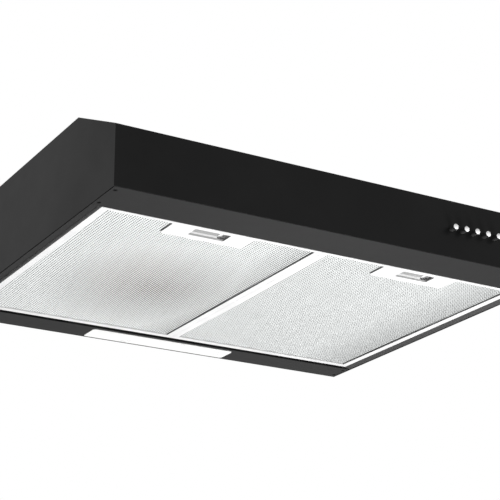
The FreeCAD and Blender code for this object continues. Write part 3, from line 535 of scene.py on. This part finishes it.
def turned(verts, faces, x, y, outline, count):
    """A round piece about a vertical axis: rings joined in order, then closed at both ends."""
    first = len(verts)
    for radius, z in outline:
        verts += ring_of(count, radius, x, y, z)
    for level in range(len(outline) - 1):
        a, b = first + level * count, first + (level + 1) * count
        faces += [(a + i, a + (i + 1) % count, b + (i + 1) % count, b + i) for i in range(count)]
    last = first + (len(outline) - 1) * count
    faces.append(tuple(reversed(range(first, first + count))))
    faces.append(tuple(range(last, last + count)))


def cross_screw(build, x, y, face_z, under_z, end_z, radius, shank):
    """A pan head with a cross recess. The head's face is at face_z and its seat at under_z."""
    out = 1 if face_z > under_z else -1
    high = abs(face_z - under_z)
    arm, half, depth = radius * 0.55, radius * 0.13, high * 0.7
    count = 24
    rings = [ring_of(count, radius, x, y, under_z),
             ring_of(count, radius, x, y, face_z - out * high * 0.35),
             ring_of(count, radius * 0.9, x, y, face_z - out * high * 0.08),
             ring_of(count, radius * 0.78, x, y, face_z)]
    made = [[build.verts.new(point) for point in ring] for ring in rings]
    for a, b in zip(made, made[1:]):
        for i in range(count):
            build.faces.new((a[i], a[(i + 1) % count], b[(i + 1) % count], b[i]))
    build.faces.new(made[0][::-1])
    # the cross recess, from its rim down to its foot
    plus = [(arm, -half), (arm, half), (half, half), (half, arm), (-half, arm), (-half, half),
            (-arm, half), (-arm, -half), (-half, -half), (-half, -arm), (half, -arm), (half, -half)]
    rim = [build.verts.new((x + u, y + v, face_z)) for u, v in plus]
    foot = [build.verts.new((x + u * 0.8, y + v * 0.8, face_z - out * depth)) for u, v in plus]
    corners = len(plus)
    for i in range(corners):
        build.faces.new((rim[i], rim[(i + 1) % corners], foot[(i + 1) % corners], foot[i]))
    build.faces.new(foot)
    edges = [build.edges.get((made[3][i], made[3][(i + 1) % count])) for i in range(count)]
    edges += [build.edges.get((rim[i], rim[(i + 1) % corners])) for i in range(corners)]
    bmesh.ops.triangle_fill(build, use_beauty=True, use_dissolve=False, edges=edges)
    # the shank, with a pointed end
    count = 12
    ends = [[build.verts.new(point) for point in ring_of(count, shank * share, x, y, z)]
            for share, z in ((1, under_z), (1, end_z + out * shank), (0.3, end_z))]
    for a, b in zip(ends, ends[1:]):
        for i in range(count):
            build.faces.new((a[i], a[(i + 1) % count], b[(i + 1) % count], b[i]))
    build.faces.new(ends[-1])


def screw_set(name, node, material, spots, face_z, under_z, end_z, radius, shank):
    """Equal screws at the spots, all in one piece and in millimetres."""
    build = bmesh.new()
    for x, y in spots:
        cross_screw(build, x * MM, y * MM, face_z * MM, under_z * MM, end_z * MM, radius * MM,
                    shank * MM)
    bmesh.ops.recalc_face_normals(build, faces=build.faces[:])
    mesh = bpy.data.meshes.new(name)
    build.to_mesh(mesh)
    build.free()
    mesh.materials.append(material)
    obj = bpy.data.objects.new(name, mesh)
    bpy.context.collection.objects.link(obj)
    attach(obj, "hood")
    if node:
        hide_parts(node)


def around(x, y, turns, sign=1):
    """Points about (x, y), from pairs of degrees and millimetres from the centre."""
    return [(x + radius * math.cos(math.radians(turn)) * sign,
             y + radius * math.sin(math.radians(turn))) for turn, radius in turns]


RAIL_X = 293
RAIL_Y = (-289, -249, 165, 189)
RAIL_SPOTS = [(sign * RAIL_X, y) for sign in (-1, 1) for y in RAIL_Y]
screw_set("rail_screw_heads", "rail_screws", DARK_STEEL, RAIL_SPOTS,
          face_z=-118.0, under_z=-117.2, end_z=-112.0, radius=2.3, shank=1.5)
COLLAR_X, COLLAR_Y = 0.0, 81.783
COLLAR_RADIUS = 67.5
reach = COLLAR_RADIUS * math.sqrt(0.5)
COLLAR_SPOTS = [(COLLAR_X + a * reach, COLLAR_Y + b * reach) for a in (-1, 1) for b in (-1, 1)]
screw_set("collar_screw_heads", "collar_screws", STEEL, COLLAR_SPOTS,
          face_z=3.2, under_z=1.2, end_z=-7.0, radius=3.4, shank=1.5)

BLOWER_X, BLOWER_Y = 150.0, -30.0
# screws that hold each cover to the scroll, on the way round from the mouth
COVER_TURNS = ((20, 78), (-60, 84), (-120, 92), (170, 96), (110, 98))
# screws on the motor's own flange
FLANGE_TURNS = ((0, 37.5), (90, 37.5), (180, 37.5), (270, 37.5))
# rivets round the blower's eye: radius and height of each ring of a rivet's head
RIVET_COUNT, RIVET_RADIUS = 10, 70
RIVET_OUTLINE = [(0.5 * MM, -93.1 * MM), (1.7 * MM, -92.8 * MM), (2.0 * MM, -92.0 * MM)]
# the motor's end cap and the vent ribs round it
MOTOR_TOP = -9.2 * MM
BOSS_OUTLINE = [(9 * MM, MOTOR_TOP), (9 * MM, -7.2 * MM), (6 * MM, -6.2 * MM)]
RIB_COUNT, RIB_START, RIB_END, RIB_WIDTH, RIB_THICK = 12, 12 * MM, 31 * MM, 2.4 * MM, 1.2 * MM

for side, sign in (("left", -1), ("right", 1)):
    x = sign * BLOWER_X
    screw_set("cover_screws_" + side, None, STEEL,
              around(x, BLOWER_Y, COVER_TURNS, -sign),
              face_z=-37.4, under_z=-39.2, end_z=-44.0, radius=3.0, shank=1.4)
    screw_set("motor_screws_" + side, None, STEEL,
              around(x, BLOWER_Y, FLANGE_TURNS),
              face_z=-36.2, under_z=-37.6, end_z=-42.0, radius=2.2, shank=1.2)
    verts, faces = [], []
    for i in range(RIVET_COUNT):
        turn = math.tau * i / RIVET_COUNT
        turned(verts, faces, (x + RIVET_RADIUS * math.cos(turn)) * MM,
               (BLOWER_Y + RIVET_RADIUS * math.sin(turn)) * MM, RIVET_OUTLINE, 16)
    add_mesh("eye_rivets_" + side, "hood", STEEL, verts, faces, True)
    verts, faces = [], []
    turned(verts, faces, x * MM, BLOWER_Y * MM, BOSS_OUTLINE, 32)
    centre = Vector((x, BLOWER_Y)) * MM
    for i in range(RIB_COUNT):
        turn = math.tau * i / RIB_COUNT
        along = Vector((math.cos(turn), math.sin(turn)))
        strand(verts, faces, centre + along * RIB_START, centre + along * RIB_END, MOTOR_TOP,
               RIB_WIDTH, RIB_THICK)
    add_mesh("motor_cap_" + side, "hood", STEEL, verts, faces, False)


# a black bead in each joint between a side panel and its bottom flange, and along the fold
# below the front, as painted shade in the groove: its three corners, then how far it runs
SIDE_BEAD = [(299.7, -118.0), (298.6, -118.4), (298.4, -117.9)]
SIDE_RUN = (-299.4, 199.4)
FRONT_BEAD = [(-299.8, -117.95), (-299.0, -118.1), (-298.4, -117.95)]
FRONT_RUN = (-299.2, 299.2)

for side, sign in (("left", -1), ("right", 1)):
    verts = [(sign * x * MM, y * MM, z * MM) for y in SIDE_RUN for x, z in SIDE_BEAD]
    faces = [(0, 1, 2), (5, 4, 3), (0, 3, 4, 1), (1, 4, 5, 2), (2, 5, 3, 0)]
    if sign > 0:
        faces = [tuple(reversed(face)) for face in faces]
    add_mesh("seam_" + side, "hood", GROOVE_SHADE, verts, faces)
verts = [(x * MM, y * MM, z * MM) for x in FRONT_RUN for y, z in FRONT_BEAD]
add_mesh("seam_front", "hood", GROOVE_SHADE, verts,
         [(2, 1, 0), (3, 4, 5), (1, 4, 3, 0), (2, 5, 4, 1), (0, 3, 5, 2)])


# ---------------------------------------------------------------- wiring

def smooth_path(points, steps=10):
    """A Catmull-Rom curve through the points."""
    spots = [Vector(point) * MM for point in points]
    spots = [2 * spots[0] - spots[1]] + spots + [2 * spots[-1] - spots[-2]]
    curve = []
    for i in range(1, len(spots) - 2):
        a, b, c, d = spots[i - 1:i + 3]
        for k in range(steps):
            t = k / steps
            curve.append(0.5 * (2 * b + (c - a) * t + (2 * a - 5 * b + 4 * c - d) * t * t
                                + (3 * b - a - 3 * c + d) * t ** 3))
    return curve + [spots[-2]]


def wire(name, colour, points, radius=1.3):
    """A round insulated wire through the points, all in millimetres."""
    curve = smooth_path(points)
    verts, faces = [], []
    side = Vector((0, 0, 1))
    count = 10
    for i, point in enumerate(curve):
        along = (curve[min(i + 1, len(curve) - 1)] - curve[max(i - 1, 0)]).normalized()
        u = side.cross(along)
        u = u.normalized() if u.length > 1e-4 else Vector((1, 0, 0))
        v = along.cross(u)
        side = v if v.length > 0.5 else side
        verts += [point + (u * math.cos(math.tau * k / count) + v * math.sin(math.tau * k / count))
                  * radius * MM for k in range(count)]
    for i in range(len(curve) - 1):
        a, b = i * count, (i + 1) * count
        faces += [(a + k, a + (k + 1) % count, b + (k + 1) % count, b + k) for k in range(count)]
    last = (len(curve) - 1) * count
    faces += [tuple(reversed(range(count))), tuple(range(last, last + count))]
    add_mesh("wire_" + name, "hood", WIRE[colour], verts, faces, True)


# the switch block's first tab, the spacing of its tabs, and where its wires gather
FIRST_TAB, TAB_STEP, GATHER_X = 141, 16, 226
for i, colour in enumerate(("brown", "blue", "black", "grey", "red")):
    x = FIRST_TAB + TAB_STEP * i
    wire("switch_%d" % (i + 1), colour,
         [(x, -271.2, -82), (x, -266, -82), (x + (GATHER_X - x) * 0.6, -258, -80 + i),
          (230 + i, -250, -72), (262, -228 + 2 * i, -58)])

# the other wires: colour, radius in millimetres, and the points each one passes through
RUNS = {
    "loom": ("black", 3.4, [
        (260, -230, -59), (268, -210, -42), (272, -160, -18), (272, -60, -12), (270, 20, -14),
        (263.5, 44, -16)]),
    "motor_right": ("grey", 2.2, [
        (180, -14, -20), (189, 2, -19), (206, 20, -17), (214, 28.5, -17)]),
    "motor_left": ("grey", 2.2, [
        (-120, -14, -20), (-96, -16, -16), (-50, 2, -10), (40, 6, -10), (90, 20, -12),
        (150, 26, -14), (184, 36, -16), (200.5, 44, -16)]),
    "lamp": ("grey", 1.9, [
        (-80, 166, -97.4), (-84, 172, -88), (-120, 176, -60), (-180, 160, -30),
        (-226, 110, -14), (-232, 77.5, -12)]),
    "driver": ("grey", 1.9, [
        (-232, 42.5, -12), (-228, 22, -9), (-150, 18, -6), (-60, 8, -5), (60, 8, -6),
        (150, 30, -9), (200.5, 54, -12)]),
    "capacitor": ("red", 1.2, [
        (-121.8, 60, -16), (-112, 48, -12), (-112, 14, -12), (-128, -4, -9.5)]),
}
for name, (colour, radius, points) in RUNS.items():
    wire(name, colour, points, radius)


# ---------------------------------------------------------------- studio

def studio():
    """A pale room: a wide floor, a white background, and four square lights."""
    size = 40.0
    level = -3.2
    verts = [(-size, -size, level), (size, -size, level), (size, size, level), (-size, size, level)]
    mesh = bpy.data.meshes.new("floor")
    mesh.from_pydata(verts, [], [(0, 1, 2, 3)])
    floor = bpy.data.objects.new("floor", mesh)
    bpy.context.collection.objects.link(floor)
    look = Look("floor_paint", (0.8, 0.8, 0.8), 0.6)
    look.vary_rough(look.noise(2, 3), 0.05)
    mesh.materials.append(look.material)

    world = bpy.data.worlds.new("studio")
    bpy.context.scene.world = world
    world.use_nodes = True
    tree = world.node_tree
    tree.nodes.clear()
    out = tree.nodes.new("ShaderNodeOutputWorld")
    seen = tree.nodes.new("ShaderNodeBackground")
    lit = tree.nodes.new("ShaderNodeBackground")
    seen.inputs[0].default_value = (1, 1, 1, 1)
    seen.inputs[1].default_value = 1.0
    lit.inputs[0].default_value = (1, 1, 1, 1)
    # the wall side of the room is a little brighter than the side the hood faces
    heading = tree.nodes.new("ShaderNodeTexCoord")
    split = tree.nodes.new("ShaderNodeSeparateXYZ")
    shade = tree.nodes.new("ShaderNodeMapRange")
    shade.inputs["From Min"].default_value = -1.0
    shade.inputs["To Min"].default_value = 0.2
    shade.inputs["To Max"].default_value = 0.37
    tree.links.new(heading.outputs["Generated"], split.inputs[0])
    tree.links.new(split.outputs["Y"], shade.inputs["Value"])
    tree.links.new(shade.outputs["Result"], lit.inputs[1])
    mix = tree.nodes.new("ShaderNodeMixShader")
    path = tree.nodes.new("ShaderNodeLightPath")
    tree.links.new(path.outputs["Is Camera Ray"], mix.inputs[0])
    tree.links.new(lit.outputs[0], mix.inputs[1])
    tree.links.new(seen.outputs[0], mix.inputs[2])
    tree.links.new(mix.outputs[0], out.inputs[0])

    def lamp(name, place, target, width, power):
        data = bpy.data.lights.new(name, "AREA")
        data.shape = "SQUARE"
        data.size = width
        data.energy = power
        light = bpy.data.objects.new(name, data)
        bpy.context.collection.objects.link(light)
        light.location = place
        light.rotation_euler = (Vector(target) - Vector(place)).to_track_quat("-Z", "Y").to_euler()

    lamp("below", (0.8, -1.4, -2.3), (0, 0, -0.1), 1.2, 92)
    lamp("low_back", (1.5, 1.85, -2.8), (0, 0, -0.1), 1.0, 11.5)
    lamp("front", (-1.6, -2.6, 0.6), (0, 0, -0.1), 1.2, 12)
    lamp("above", (0.8, 0.6, 2.4), (0, 0, 0), 1.6, 60)


studio()
bpy.context.scene.view_settings.view_transform = "Standard"
